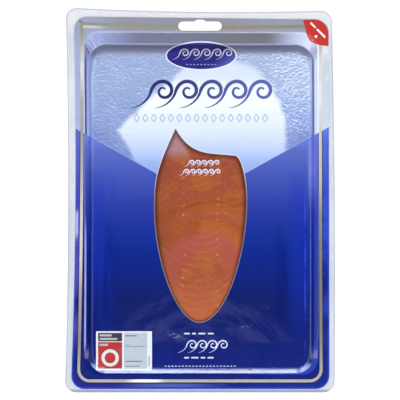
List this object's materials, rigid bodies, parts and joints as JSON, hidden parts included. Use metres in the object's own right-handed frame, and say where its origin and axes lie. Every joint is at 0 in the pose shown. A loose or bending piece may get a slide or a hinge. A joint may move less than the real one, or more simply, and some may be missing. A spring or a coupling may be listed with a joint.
{
  "type": "pack of smoked salmon",
  "caption": "Flat vacuum pack of smoked salmon slices, with a printed blue and silver lid film, a clear window and a hang slot.",
  "frame": {"origin": "under the middle of the pack, on the surface that its back rests on", "axes": "+Z out of the printed lid, +Y towards the hang slot, +X to the right as the lid is seen with the slot at the top"},
  "size_m": [0.1994, 0.284, 0.0081],
  "materials": {
    "clear_film": "clear gloss",
    "printed_film": "metallised gloss print, deep blue below and silver above",
    "silver_board": "silver laminate",
    "smoked_salmon": "moist",
    "gold_print": "pale gold gloss print",
    "label_paper": "satin"
  },
  "bodies": {
    "root": {"base_film": "clear_film", "base_film_header": "clear_film", "backing_board": "silver_board", "salmon_lower_layer": "smoked_salmon", "salmon_slice_middle": "smoked_salmon", "salmon_slice_upper": "smoked_salmon", "lid_film": "printed_film", "lid_film_header": "printed_film", "window_pane": "clear_film", "gold_line": "gold_print", "label_sticker": "label_paper"}
  },
  "joints": []
}
